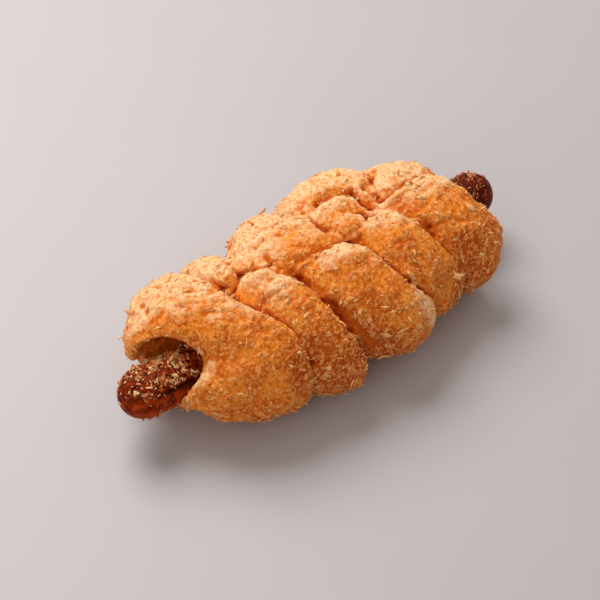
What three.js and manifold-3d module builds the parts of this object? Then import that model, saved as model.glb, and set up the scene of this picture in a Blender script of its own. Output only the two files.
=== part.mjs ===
// Sausage doughnut: a plait of fried dough wrapped round a sausage that sticks out at both ends.
// Millimetres. +X runs along the sausage, +Y to the far side of the plait, +Z up.
import * as THREE from "three";
import { mergeVertices } from "three/addons/utils/BufferGeometryUtils.js";
import Module from "manifold-3d";

const { clamp, degToRad, lerp, radToDeg, smoothstep } = THREE.MathUtils;

// The plait's strands lie on a loaf. Its sections along x:
// [x, half width on the near side, half width on the far side, rise above the axis].
const LOAF_SECTIONS = [
  [-76, 11, 9, 11.5],
  [-66, 19, 18, 15],
  [-56, 25, 24.5, 17.5],
  [-42, 29.5, 25.5, 19.3],
  [-33, 30.5, 26, 19.8],
  [-22, 32.5, 24.5, 20],
  [-11, 34, 30.5, 20],
  [0, 33, 33, 20],
  [14, 34, 33.5, 20],
  [22, 31.5, 34.5, 20],
  [30, 28, 35.5, 20],
  [42, 25, 31, 19.5],
  [56, 24.5, 23, 17.5],
  [66, 20, 14, 14],
  [74, 12, 8, 11],
];
const [SECTION_X, NEAR, FAR, RISE] = [0, 1, 2, 3];
const LOAF_AXIS_HEIGHT = 16.5;
const LOAF_DROP_SHARE = 0.68;

// The strands, which all run across the loaf. Stations along each, from its end at the top:
// [angle from the top in degrees, growing towards the near side, left edge x, right edge x, height].
const STRANDS = {
  // Low strand that shows between the stub and the right end
  farTuck: [
    [4, 20, 32, -3],
    [-10, 17, 36, -2.5],
    [-25, 11, 39.5, -0.5],
    [-45, 5, 42, 1],
    [-65, 4, 43, 1],
    [-95, 4, 43, 0.5],
  ],
  // Bright bulge at the right end
  farRight: [
    [2, 31, 55, 0.5],
    [-12, 33, 59, 0.5],
    [-26, 37, 61.5, 0.8],
    [-50, 41.5, 61.5, 0.5],
    [-90, 42, 58, 0],
  ],
  // Short end that lies on the ridge
  farStub: [
    [8, 6, 22, 0.8],
    [-3, 4, 24, 0.8],
    [-13, 3, 24.5, 0.8],
    [-24, 2, 20, 0.3],
  ],
  // Widest far strand
  farMiddle: [
    [16, -24, 10, 0.5],
    [2, -28, 10, 1],
    [-12, -29.5, 8, 1.2],
    [-26, -29, 6.3, 1.2],
    [-42, -26, 2.5, 1],
    [-62, -18, 2, -0.3],
    [-95, -20, 4, -0.3],
  ],
  // Small lobe behind the arch
  farLeft: [
    [0, -38, -29, 0],
    [-12, -40, -27, 0],
    [-30, -40, -26, 0],
    [-55, -40, -23, 0],
    [-95, -43, -20, 0],
  ],
  // Lobe of the right end
  nearRight: [
    [-13, 38, 56, 0],
    [0, 32, 61, 0.3],
    [18, 34, 64, 0.5],
    [38, 36, 67, 0.5],
    [60, 40, 70, 0.5],
    [82, 44, 68, 0],
    [105, 46, 62, -0.3],
  ],
  nearSecond: [
    [0, 8.5, 32, 0],
    [13, 9.5, 35.5, 0.3],
    [27, 13.5, 38.5, 0.5],
    [42, 16, 40.5, 0.5],
    [58, 21, 43.5, 0.5],
    [80, 27, 46, 0],
    [105, 28, 45, 0],
  ],
  nearMiddle: [
    [5, -17, 9, 1.2],
    [20, -15, 15, 1.2],
    [34, -12, 17.5, 1.2],
    [48, -10, 21, 1.2],
    [62, -7, 25, 1.5],
    [80, -4, 28, 1.4],
    [105, -2.5, 28, -0.4],
  ],
  nearFourth: [
    [-6, -33.5, -18.5, 0.4],
    [8, -36, -15, 0.4],
    [25, -34, -10.7, 0.5],
    [50, -29.5, -7.5, 0.5],
    [80, -27.5, -4.5, 0.5],
    [110, -26.5, -4.5, 0.6],
  ],
  // Arch over the sausage at the left end
  nearLeft: [
    [-176, -56, -42, 0],
    [-135, -64, -42, 0],
    [-90, -69.5, -42, 0.3],
    [-50, -72, -41.5, 0.5],
    [-25, -70.5, -40, 0.6],
    [-8, -66, -38, 0.6],
    [8, -60.5, -35.5, 0.6],
    [22, -55.5, -31.5, 0.6],
    [38, -55, -25.7, 0.6],
    [58, -62, -24.5, 0.4],
    [85, -65.5, -26, 0.1],
    [120, -60, -28, -0.2],
  ],
};
const [ANGLE, LEFT, RIGHT, HEIGHT] = [0, 1, 2, 3];
const STRAND_HALF_THICKNESS = 6;
const STRAND_TILTS = { near: 0.18, far: 0.05 };
const STRAND_EDGE_SQUARENESS = 0.87;
const STRAND_TIP_SHARES = { near: 0.1, far: 0.16 };
const STRAND_TIP_WIDTH = 0.4;
const TUCKED_ANGLES = [140, 176];
const TUCKED_NARROWING = 1;

// The dough inside the plait, which fills the space between the strands and the sausage: the core,
// and a collar under the arch. ends: along x; depths: below the loaf's surface, at the top and at
// the sides; rounding: of both ends
const CORE = { ends: [-59, 64], depths: [-2.5, 2], rounding: 12, steps: [24, 32] };
const COLLAR = { ends: [-68, -40], depths: [3.5, 3.5], rounding: 4, steps: [12, 28] };
const CORE_DEPTH_ANGLES = [25, 55];
const CORE_DROP_SHARE = 0.95;
const CORE_UNDERSIDE_TAPER = 0.3;

// The sausage
const SAUSAGE_X = [-84, 84];
const SAUSAGE_RADIUS = [8.8, 8.9];
const SAUSAGE_END_ROUNDING = 10;
const SAUSAGE_MIDDLE_Y = -2.4;
const SAUSAGE_MIDDLE_Z = 15.2;
const SAUSAGE_YAW = 0.06;
const SAUSAGE_PITCH = -0.006;
const SAUSAGE_SIDE_BEND = 2.6;
const SAUSAGE_LIFT_BEND = 4;
const SAUSAGE_GAP = 0.3;

// The mouth at the left end, a hollow that widens from the sausage towards the arch's lip
const MOUTH_X = [-82, -47];
const MOUTH_WIDENING = 12;
const MOUTH_RADIUS = [9, 12.2];
const MOUTH_SHIFT = new THREE.Vector3(0, 1.4, 4.4);
const MOUTH_END_ROUNDING = 3;
const MOUTH_STRANDS = ["nearLeft", "farLeft"];

// Steps of the meshes, along and round
const STRAND_STEPS = [21, 16];
const SAUSAGE_STEPS = [30, 26];
const MOUTH_STEPS = [10, 20];

const DOUGH_LOOK = { color: 0xd98a45, roughness: 0.6, metalness: 0 };
const SAUSAGE_LOOK = { color: 0x6e2413, roughness: 0.45, metalness: 0 };

const wasm = await Module();
wasm.setup();

// A column of the loaf's sections at x, eased between one section and the next.
function loafSize(x, column) {
  const last = LOAF_SECTIONS.length - 1;
  const next = LOAF_SECTIONS.findIndex((section) => section[SECTION_X] > x);
  const to = LOAF_SECTIONS[next < 0 ? last : next];
  const from = LOAF_SECTIONS[next < 0 ? last : Math.max(0, next - 1)];
  if (from === to) return to[column];
  const straight = (x - from[SECTION_X]) / (to[SECTION_X] - from[SECTION_X]);
  const eased = smoothstep(x, from[SECTION_X], to[SECTION_X]);
  return lerp(from[column], to[column], (straight + eased) / 2);
}

// A point at x, at an angle from the top, standing out from the loaf's surface.
function onLoaf(x, angle, out, dropShare = LOAF_DROP_SHARE) {
  const width = loafSize(x, angle > 0 ? NEAR : FAR);
  const height = loafSize(x, RISE) * (Math.cos(angle) > 0 ? 1 : dropShare);
  const y = -(width + out) * Math.sin(angle);
  const z = LOAF_AXIS_HEIGHT + (height + out) * Math.cos(angle);
  return new THREE.Vector3(x, y, z);
}

// A column of a strand's stations at t, from 0 to 1, as a smooth curve through them.
function stationValue(stations, column, t) {
  const last = stations.length - 1;
  const at = (k) => stations[clamp(k, 0, last)][column];
  const i = Math.min(last - 1, Math.floor(t * last));
  const s = t * last - i;
  const slopeIn = (at(i + 1) - at(i - 1)) / 2;
  const slopeOut = (at(i + 2) - at(i)) / 2;
  const cubic = 2 * at(i) - 2 * at(i + 1) + slopeIn + slopeOut;
  const square = 3 * at(i + 1) - 3 * at(i) - 2 * slopeIn - slopeOut;
  return ((cubic * s + square) * s + slopeIn) * s + at(i);
}

// Six times the volume inside a mesh, negative where its faces point inwards.
function signedVolume(points, index) {
  let sum = 0;
  for (let i = 0; i < index.length; i += 3) {
    const [a, b, c] = [points[index[i]], points[index[i + 1]], points[index[i + 2]]];
    sum += a.dot(b.clone().cross(c));
  }
  return sum;
}

// A closed mesh from rings of points, with a single point at each end.
function meshOfRings(rings, first, last) {
  const round = rings[0].length;
  const points = [first, ...rings.flat(), last];
  const index = [];
  const id = (i, j) => 1 + i * round + (j % round);
  for (let j = 0; j < round; j++) {
    index.push(0, id(0, j + 1), id(0, j));
    index.push(points.length - 1, id(rings.length - 1, j), id(rings.length - 1, j + 1));
    for (let i = 0; i + 1 < rings.length; i++) {
      index.push(id(i, j), id(i, j + 1), id(i + 1, j));
      index.push(id(i, j + 1), id(i + 1, j + 1), id(i + 1, j));
    }
  }
  const geometry = new THREE.BufferGeometry().setFromPoints(points);
  geometry.setIndex(signedVolume(points, index) > 0 ? index : index.reverse());
  return geometry;
}

// Rings of ringAt(t, angle round), closer together towards both ends.
function ringsOf([along, round], ringAt) {
  const rings = [];
  for (let i = 1; i < along; i++) {
    const t = 0.5 - 0.5 * Math.cos((Math.PI * i) / along);
    const angles = Array.from({ length: round }, (_, j) => (2 * Math.PI * j) / round);
    rings.push(ringAt(t, angles));
  }
  return rings;
}

const signedPower = (value, power) => Math.sign(value) * Math.abs(value) ** power;

// Fullness of a rounded end, from 0 at the tip to 1 at the given distance in.
function endFullness(distance, rounding) {
  const s = Math.min(1, distance / rounding);
  return Math.sqrt(Math.max(0, 1 - (1 - s) ** 2));
}

// A strand's stations, with those of the part that is tucked under the loaf.
function tucked(stations) {
  const end = stations[stations.length - 1];
  const side = Math.sign(end[ANGLE]);
  if (Math.abs(end[ANGLE]) < 90) return stations;
  const under = TUCKED_ANGLES.map((angle, i) => {
    const inset = TUCKED_NARROWING * (i + 1);
    return [side * angle, end[LEFT] + inset, end[RIGHT] - inset, 0];
  });
  return [...stations, ...under];
}

function strand(stations, side) {
  const value = (column, t) => stationValue(stations, column, t);
  const place = (t, across, thick) => {
    const x = (value(LEFT, t) + value(RIGHT, t)) / 2 + across;
    return onLoaf(x, degToRad(value(ANGLE, t)), value(HEIGHT, t) + STRAND_TILTS[side] * across + thick);
  };
  const rings = ringsOf(STRAND_STEPS, (t, angles) => {
    const full = endFullness(Math.min(t, 1 - t), STRAND_TIP_SHARES[side]);
    const halfWidth = ((value(RIGHT, t) - value(LEFT, t)) / 2) * lerp(STRAND_TIP_WIDTH, 1, full);
    const halfThickness = STRAND_HALF_THICKNESS * full;
    return angles.map((angle) => {
      const across = halfWidth * signedPower(Math.cos(angle), STRAND_EDGE_SQUARENESS);
      return place(t, across, halfThickness * signedPower(Math.sin(angle), STRAND_EDGE_SQUARENESS));
    });
  });
  return meshOfRings(rings, place(0, 0, 0), place(1, 0, 0));
}

// The core or the collar.
function innerDough({ ends, depths, rounding, steps }) {
  const length = ends[1] - ends[0];
  const rings = ringsOf(steps, (t, angles) => {
    const full = endFullness(length * Math.min(t, 1 - t), rounding);
    return angles.map((round) => {
      const angle = round - Math.PI;
      const down = smoothstep(Math.abs(radToDeg(angle)), ...CORE_DEPTH_ANGLES);
      const p = onLoaf(lerp(...ends, t), angle, -lerp(...depths, down), CORE_DROP_SHARE);
      const underside = p.z < LOAF_AXIS_HEIGHT;
      const narrowing = underside ? Math.abs(Math.sin(angle)) ** CORE_UNDERSIDE_TAPER : 1;
      return new THREE.Vector3(p.x, p.y * full * narrowing, lerp(LOAF_AXIS_HEIGHT, p.z, full));
    });
  });
  const [start, end] = ends.map((x) => new THREE.Vector3(x, 0, LOAF_AXIS_HEIGHT));
  return meshOfRings(rings, start, end);
}

function sausageAxis(x) {
  const bend = (x / SAUSAGE_X[1]) ** 2;
  const y = SAUSAGE_MIDDLE_Y + SAUSAGE_YAW * x + SAUSAGE_SIDE_BEND * bend;
  const z = SAUSAGE_MIDDLE_Z + SAUSAGE_PITCH * x + SAUSAGE_LIFT_BEND * bend;
  return new THREE.Vector3(x, y, z);
}

// The sausage, or the space for it when it is grown by a gap all round.
function sausage(grow = 0) {
  const [start, end] = [SAUSAGE_X[0] - grow, SAUSAGE_X[1] + grow];
  const rings = ringsOf(SAUSAGE_STEPS, (t, angles) => {
    const x = lerp(start, end, t);
    const full = endFullness(Math.min(x - start, end - x), SAUSAGE_END_ROUNDING);
    const radius = (lerp(...SAUSAGE_RADIUS, t) + grow) * full;
    const centre = sausageAxis(x);
    const ahead = sausageAxis(x + 1).sub(centre).normalize();
    const side = new THREE.Vector3(0, 1, 0).cross(ahead).normalize();
    const up = ahead.clone().cross(side);
    return angles.map((angle) => {
      const out = side.clone().multiplyScalar(Math.cos(angle)).addScaledVector(up, Math.sin(angle));
      return centre.clone().addScaledVector(out, radius);
    });
  });
  return meshOfRings(rings, sausageAxis(start), sausageAxis(end));
}

function mouth() {
  const [open, inner] = MOUTH_X;
  const rings = ringsOf(MOUTH_STEPS, (t, angles) => {
    const x = lerp(inner, open, t);
    const wide = smoothstep(inner - x, 0, MOUTH_WIDENING);
    const radius = lerp(...MOUTH_RADIUS, wide) * endFullness(inner - x, MOUTH_END_ROUNDING);
    const centre = sausageAxis(x).addScaledVector(MOUTH_SHIFT, wide);
    return angles.map((angle) => {
      const out = new THREE.Vector3(0, Math.cos(angle), Math.sin(angle));
      return centre.clone().addScaledVector(out, radius);
    });
  });
  return meshOfRings(rings, sausageAxis(inner), sausageAxis(open).add(MOUTH_SHIFT));
}

function belowPlate() {
  const size = 4 * SAUSAGE_X[1];
  return new THREE.BoxGeometry(size, size, size).translate(0, 0, -size / 2);
}

function solid(geometry) {
  const bare = geometry.clone();
  bare.deleteAttribute("normal");
  bare.deleteAttribute("uv");
  const merged = mergeVertices(bare);
  const vertProperties = new Float32Array(merged.attributes.position.array);
  const triVerts = new Uint32Array(merged.index.array);
  return new wasm.Manifold(new wasm.Mesh({ numProp: 3, vertProperties, triVerts }));
}

function geometryOf(manifold) {
  const { vertProperties, triVerts } = manifold.getMesh();
  const geometry = new THREE.BufferGeometry();
  geometry.setAttribute("position", new THREE.BufferAttribute(new Float32Array(vertProperties), 3));
  geometry.setIndex(new THREE.BufferAttribute(new Uint32Array(triVerts), 1));
  geometry.computeVertexNormals();
  return geometry;
}

// Inner dough and strands joined, closed gaps filled, flat below, open for the sausage.
function dough() {
  let plait = solid(innerDough(CORE)).add(solid(innerDough(COLLAR))).subtract(solid(mouth()));
  for (const [name, stations] of Object.entries(STRANDS)) {
    const whole = solid(strand(tucked(stations), name.startsWith("near") ? "near" : "far"));
    plait = plait.add(MOUTH_STRANDS.includes(name) ? whole.subtract(solid(mouth())) : whole);
  }
  const filled = wasm.Manifold.union(plait.decompose().filter((shell) => shell.volume() > 0));
  return geometryOf(filled.subtract(solid(belowPlate())).subtract(solid(sausage(SAUSAGE_GAP))));
}

function piece(name, geometry, look) {
  const mesh = new THREE.Mesh(geometry, new THREE.MeshStandardMaterial(look));
  mesh.name = name;
  return mesh;
}

// The origin is the centre of the bottom of the whole part's box.
const part = new THREE.Group();
part.add(piece("dough", dough(), DOUGH_LOOK), piece("sausage", sausage(), SAUSAGE_LOOK));
const middle = new THREE.Box3().setFromObject(part).getCenter(new THREE.Vector3());
part.position.set(-middle.x, -middle.y, 0);

export default part;
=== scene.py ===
"""Looks of the sausage doughnut: fried plaited dough with a breadcrumb coat, round a long sausage.

Shapes are worked out in millimetres, in the frame that the strands are laid out in. build_mesh turns
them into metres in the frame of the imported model.
"""
import math

import bpy
import numpy as np
from mathutils import Matrix, Vector


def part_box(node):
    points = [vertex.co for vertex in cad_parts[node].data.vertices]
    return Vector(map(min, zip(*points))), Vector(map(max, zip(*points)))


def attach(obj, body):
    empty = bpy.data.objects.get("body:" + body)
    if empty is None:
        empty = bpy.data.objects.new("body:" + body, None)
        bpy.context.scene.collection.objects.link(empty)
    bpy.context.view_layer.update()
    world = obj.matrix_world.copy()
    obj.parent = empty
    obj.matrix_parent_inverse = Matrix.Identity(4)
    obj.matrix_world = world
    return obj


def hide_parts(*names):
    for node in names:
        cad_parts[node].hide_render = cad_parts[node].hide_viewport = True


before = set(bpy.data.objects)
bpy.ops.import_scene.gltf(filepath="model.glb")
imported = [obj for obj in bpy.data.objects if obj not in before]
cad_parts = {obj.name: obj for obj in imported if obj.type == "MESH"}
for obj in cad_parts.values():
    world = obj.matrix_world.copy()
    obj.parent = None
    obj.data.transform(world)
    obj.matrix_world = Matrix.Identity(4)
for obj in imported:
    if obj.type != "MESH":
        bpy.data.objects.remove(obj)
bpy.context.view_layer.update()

# Each noise adds a number of its own to the seed
SEED = 7
MM = 0.001

# ---- The loaf that the strands lie on: [x, half width near, half width far, rise above the axis] ----

LOAF = np.array([
    [-76, 11, 9, 11.5], [-66, 19, 18, 15], [-56, 25, 24.5, 17.5], [-42, 29.5, 25.5, 19.3],
    [-33, 30.5, 26, 19.8], [-22, 32.5, 24.5, 20], [-11, 34, 30.5, 20], [0, 33, 33, 20],
    [14, 34, 33.5, 20], [22, 31.5, 34.5, 20], [30, 28, 35.5, 20], [42, 25, 31, 19.5],
    [56, 24.5, 23, 17.5], [66, 20, 14, 14], [74, 12, 8, 11],
])
NEAR, FAR, RISE = 1, 2, 3
LOAF_AXIS_HEIGHT = 16.5
# Depth of the loaf below its axis, a share of its rise above it
LOAF_DROP_SHARE = 0.68

# ---- Strands. Stations: [angle from the top, growing to the near side; left x, right x, height] ----

STRANDS = {
    "far_tuck": [
        [4, 20, 32, -3], [-10, 17, 36, -2.5], [-25, 11, 39.5, -0.5], [-45, 5, 42, 1],
        [-65, 4, 43, 1], [-95, 4, 43, 0.5],
    ],
    "far_right": [
        [2, 31, 55, 0.5], [-12, 33, 59, 0.5], [-26, 37, 61.5, 0.8], [-50, 41.5, 61.5, 0.5],
        [-90, 42, 58, 0],
    ],
    "far_stub": [
        [8, 6, 22, 0.8], [-3, 4, 24, 0.8], [-13, 3, 24.5, 0.8], [-24, 2, 20, 0.3],
    ],
    "far_middle": [
        [16, -24, 10, 0.5], [2, -28, 10, 1], [-12, -29.5, 8, 1.2], [-26, -29, 6.3, 1.2],
        [-42, -26, 2.5, 1], [-62, -18, 2, -0.3], [-95, -20, 4, -0.3],
    ],
    "far_left": [
        [0, -38, -29, 0], [-12, -40, -27, 0], [-30, -40, -26, 0], [-55, -40, -23, 0],
        [-95, -43, -20, 0],
    ],
    "near_right": [
        [-13, 38, 56, 0], [0, 32, 61, 0.3], [18, 34, 64, 0.5], [38, 36, 67, 0.5],
        [60, 40, 70, 0.5], [82, 44, 68, 0], [105, 46, 62, -0.3],
    ],
    "near_second": [
        [0, 8.5, 32, 0], [13, 9.5, 35.5, 0.3], [27, 13.5, 38.5, 0.5], [42, 16, 40.5, 0.5],
        [58, 21, 43.5, 0.5], [80, 27, 46, 0], [105, 28, 45, 0],
    ],
    "near_middle": [
        [5, -17, 9, 1.2], [20, -15, 15, 1.2], [34, -12, 17.5, 1.2], [48, -10, 21, 1.2],
        [62, -7, 25, 1.5], [80, -4, 28, 1.4], [105, -2.5, 28, -0.4],
    ],
    "near_fourth": [
        [-6, -33.5, -18.5, 0.4], [8, -36, -15, 0.4], [25, -34, -10.7, 0.5], [50, -29.5, -7.5, 0.5],
        [80, -27.5, -4.5, 0.5], [110, -26.5, -4.5, 0.6],
    ],
    "near_left": [
        [-176, -56, -42, 0], [-135, -64, -42, 0], [-90, -69.5, -42, 0.3], [-50, -72, -41.5, 0.5],
        [-25, -70.5, -40, 0.6], [-8, -66, -38, 0.6], [8, -60.5, -35.5, 0.6], [22, -55.5, -31.5, 0.6],
        [38, -55, -25.7, 0.6], [58, -62, -24.5, 0.4], [85, -65.5, -26, 0.1], [120, -60, -28, -0.2],
    ],
}
STRAND_HALF_THICKNESS = 6
# How much a strand rises from its left edge to its right edge, a share of the width
STRAND_TILTS = {"near": 0.18, "far": 0.05}
# How far each edge stays inside its station
STRAND_GAP = 0.5
# Power of the cross-section: 1 is an ellipse, less is squarer
STRAND_SQUARENESS = 0.87
# Share of the length that each tip takes up, and the tip's width as a share of the strand's
STRAND_TIP_SHARES = {"near": 0.1, "far": 0.16}
STRAND_TIP_WIDTH = 0.4
# Strands that reach this angle are carried on under the loaf, by these angles and ever narrower
TUCKED_FROM = 90
TUCKED_ANGLES = [140, 176]
TUCKED_NARROWING = 1
# Steps along and round a mesh
STRAND_STEPS = (110, 72)

# The core fills the loaf inside the strands. Depths: below the loaf's surface, on top and beside
CORE_X = (-59, 64)
CORE_DEPTH = (-2.5, 2)
CORE_DEPTH_ANGLES = (25, 55)
CORE_DROP_SHARE = 0.95
CORE_UNDERSIDE_TAPER = 0.3
CORE_END_ROUNDING = 12
CORE_STEPS = (90, 96)
# The collar is a second, shorter core round the mouth
COLLAR_X = (-68, -40)
COLLAR_DEPTH = (3.5, 3.5)
COLLAR_END_ROUNDING = 4

SAUSAGE_X = (-84, 84)
# Radius at the left end and at the right end
SAUSAGE_RADIUS = (8.8, 8.9)
SAUSAGE_END_ROUNDING = 10
SAUSAGE_MIDDLE_Y = -2.4
SAUSAGE_MIDDLE_Z = 15.2
SAUSAGE_YAW = 0.06
SAUSAGE_PITCH = -0.006
SAUSAGE_SIDE_BEND = 2.6
SAUSAGE_LIFT_BEND = 4
SAUSAGE_STEPS = (260, 88)

# The space in the dough for the sausage
BORE_GAP = 0.1
BORE_STEPS = (120, 48)

# The mouth, a hollow at the left end. Over its widening, from its right end on, it grows from the
# first radius to the second and shifts in y and z
MOUTH_X = (-82, -47)
MOUTH_WIDENING = 12
MOUTH_RADIUS = (9.0, 12.2)
MOUTH_SHIFT = (1.4, 4.4)
MOUTH_END_ROUNDING = 3
MOUTH_STEPS = (40, 64)
MOUTH_CUTS = ("core", "collar", "near_left", "far_left")
# Painted shade on the mouth's wall: its strength, the x over which it grows, and how far it reaches past
# the wall
MOUTH_SHADE = 0.85
MOUTH_SHADE_X = (-68, -55)
MOUTH_SHADE_EDGE = 1.0
MOUTH_SHADE_FADE = 0.8
MOUTH_SHADE_PAST_END = 4

DOUGH_VOXEL = 0.6
# Creases are cut deeper where the skin lies in a hollow: depth of the cut, depths of the hollow
CREASE_CUT = 1.2
CREASE_CUT_HOLLOWS = (0.15, 0.9)
# Rounds of averaging that even out the skin, before and after the creases are cut
SKIN_ROUNDS = (2, 1)
# Rounds that hollows are measured against: the more, the wider the hollows that count
PIT_ROUNDS = 5
CREASE_ROUNDS = 30
SHELTER_ROUNDS = 40
VALLEY_ROUNDS = 220
# Rounds that even out the directions in which the crumbs lie and the coat faces
CRUMB_ROUNDS = 8
COAT_ROUNDS = 25

# Relief of the skin: reach and size of each kind in mm. The swirl bends the wrinkles and domes
SWIRL, SWIRL_SIZE = 0.9, 3.2
LUMPS, LUMP_SIZE = 0.7, 9
BROAD_WRINKLES, BROAD_WRINKLE_SIZE = 0.3, 5.0
FINE_WRINKLES, FINE_WRINKLE_SIZE = 0.2, 2.6
DOMES, DOME_SIZE = 0.22, 1.9
BUMPS, BUMP_SIZE = 0.18, 1.9
DENTS, DENT_SIZE = 0.65, 4.2
DENT_RANGE = (0.2, 0.8)
# Share of the wrinkles and domes on bare skin, what the coat adds, and what hollows take away
BARE_RELIEF, COAT_RELIEF = 0.7, 0.3
SHELTERED_LOSS = 0.6
SHELTERED_HOLLOWS = (0.3, 1.2)
# Steepness of a wrinkle, half width of a dome as a share of its cell, and the lowest dome
RIDGE_STEEPNESS = 2.2
DOME_WIDTH = 0.62
DOME_LEAST = 0.3

# Single folds of the skin. Each: height above the skin, or depth below 0, and half width in mm, then
# x, y, z of the points of its line in half millimetres. Each point was chosen in the photo, and a
# scratch script printed where its ray meets the plait
FOLDS = [
    (-1.6, 2.2, [32, 35, 76, 41, 36, 78, 50, 33, 79, 52, 29, 80]),
    (0.6, 1.0, [23, 40, 73, 29, 42, 75, 36, 46, 75, 39, 52, 74]),
    (-0.8, 1.5, [24, 46, 72, 19, 43, 71]),
    (-2.6, 1.9, [56, 30, 80, 55, 18, 79, 56, 9, 79]),
    (1.0, 1.1, [60, 31, 79, 61, 19, 79, 63, 11, 77]),
    (-1.3, 1.1, [65, 30, 79, 65, 21, 78, 67, 16, 77]),
    (1.2, 1.1, [51, 22, 80, 51, 12, 79, 53, 4, 78, 59, 2, 76]),
    (-1.3, 1.1, [44, 22, 79, 41, 8, 84, 50, 4, 77]),
    (-1.3, 1.6, [89, 48, 69, 81, 37, 73, 71, 29, 77, 64, 25, 79]),
    (-1.2, 1.0, [64, 11, 77, 69, 9, 79, 75, 9, 82, 84, 10, 84, 94, 12, 83, 104, 11, 80]),
    (0.7, 1.1, [68, 6, 78, 75, 5, 81, 84, 6, 83, 94, 8, 83, 105, 8, 79]),
    (-1.2, 0.9, [67, 2, 74, 57, 0, 76, 48, 0, 76, 33, -8, 85, 27, -8, 85]),
    (0.7, 1.1, [66, -1, 74, 52, -8, 83, 44, -7, 81, 34, -9, 83, 29, -10, 82]),
    (-1.0, 0.9, [22, -8, 84, 20, -4, 85, 17, 3, 85, 14, 10, 83, 13, 19, 82, 15, 28, 80]),
    (-0.9, 1.1, [23, -10, 78, 16, -9, 78, 8, -11, 83, 0, -9, 84, -7, -8, 85, -13, -9, 85, -20, -10, 85]),
    (0.9, 1.1, [26, -11, 74, 14, -15, 81, 5, -15, 84, -1, -12, 84, -8, -11, 84, -14, -12, 84, -21, -12,
        84]),
    (-0.5, 0.8, [27, -11, 76, 28, -17, 76, 30, -22, 77, 32, -28, 76, 34, -33, 75, 36, -39, 73, 37, -45,
        70, 41, -51, 66]),
    (-0.6, 0.8, [65, 4, 73, 67, -6, 75, 66, -17, 81, 73, -19, 76, 76, -23, 75, 78, -29, 73, 81, -34, 70]),
    (-1.0, 2.0, [80, -27, 75, 83, -32, 73]),
    (-0.9, 1.6, [31, -13, 79, 31, -19, 79]),
    (-1.2, 1.0, [-35, 1, 86, -42, 2, 85, -47, 5, 83, -52, 9, 81, -55, 10, 79]),
    (-0.5, 0.9, [-55, 10, 79, -59, 8, 78, -61, 3, 78, -65, 1, 77, -64, -3, 74]),
    (-0.3, 1.5, [-64, -10, 78, -64, -15, 78, -63, -20, 77]),
    (-1.5, 1.1, [-75, 14, 80, -75, 9, 81, -73, 5, 81, -70, 3, 81]),
    (-0.6, 1.7, [-73, 10, 82, -70, 6, 82]),
    (0.7, 0.9, [-71, 9, 83, -66, 11, 84, -55, 21, 77]),
    (-0.6, 0.8, [-71, 14, 83, -69, 21, 81]),
    (-0.6, 0.8, [-60, 19, 80, -67, 12, 84]),
    (-1.8, 2.0, [-35, 6, 86, -34, -1, 86, -33, -6, 85]),
    (0.7, 0.9, [-36, 2, 86, -35, -4, 85, -33, -8, 84]),
    (-0.55, 0.8, [-91, 10, 84, -89, 7, 84, -85, 5, 84, -81, 8, 82]),
    (-0.5, 0.8, [-102, 13, 82, -97, 8, 83, -93, 6, 84]),
    (-0.55, 0.8, [-100, 5, 83, -96, 0, 84, -92, -1, 84]),
    (-0.5, 0.8, [-92, -3, 84, -90, -8, 84, -85, -12, 84]),
    (-0.5, 0.8, [-83, -9, 84, -76, -12, 82, -68, -7, 71]),
    (-0.5, 0.8, [-108, 10, 81, -104, 5, 82, -102, 1, 82]),
    (-0.5, 0.8, [-108, 23, 78, -106, 17, 80, -104, 10, 81]),
    (-0.5, 0.8, [-90, -20, 82, -87, -24, 82, -83, -28, 81]),
    (-0.45, 0.8, [-96, -8, 83, -91, -12, 84, -86, -18, 83, -79, -20, 83]),
    (-0.5, 0.9, [-121, 36, 67, -122, 26, 71, -125, 19, 72]),
    (-0.5, 0.8, [41, -51, 66, 45, -56, 62, 49, -59, 57, 55, -61, 50, 59, -62, 41, 61, -63, 31]),
    (-0.5, 0.8, [81, -35, 70, 85, -39, 69, 88, -43, 66, 90, -47, 61, 91, -50, 56, 92, -53, 50, 95, -56,
        42, 95, -56, 33]),
    (-0.9, 1.3, [83, -28, 76, 89, -30, 76, 96, -32, 75, 103, -35, 74, 110, -38, 72]),
    (-1.0, 1.6, [97, -56, 47, 103, -58, 44, 110, -60, 43]),
    (-0.5, 0.8, [-59, -28, 77, -57, -33, 76, -55, -39, 74, -52, -47, 71, -52, -52, 68, -52, -56, 64, -52,
        -61, 60, -51, -65, 54, -52, -68, 47, -52, -69, 37]),
    (-0.6, 0.7, [-51, -65, 55, -48, -68, 51, -46, -72, 45]),
    (0.5, 1.1, [-60, -17, 80, -55, -18, 83, -48, -20, 84, -40, -20, 84, -30, -19, 81, -24, -19, 79]),
    (-0.35, 0.9, [-59, -21, 80, -53, -22, 82, -45, -23, 84, -37, -24, 84]),
    (0.35, 1.0, [-54, -24, 81, -48, -25, 83, -41, -26, 83, -37, -26, 83]),
    (-1.3, 2.0, [-28, -12, 83, -25, -16, 81]),
    (-1.0, 1.2, [-25, -18, 79, -22, -23, 79, -21, -28, 79, -19, -32, 78, -17, -37, 76, -18, -41, 74, -16,
        -45, 72]),
    (-1.7, 2.3, [-15, -48, 71, -14, -53, 68, -12, -58, 64, -10, -62, 60, -8, -66, 54, -6, -69, 47, -4,
        -70, 38]),
    (-0.9, 2.0, [-1, -72, 46, 4, -75, 38]),
]
FOLD_WAVER = 0.35
FOLD_WAVER_SIZE = 2.5
# How many half widths away a fold is still felt
FOLD_REACH = 3
# How much wider than its relief the painted shade of a sunken fold is
FOLD_SHADE_WIDENING = 0.7

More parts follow.
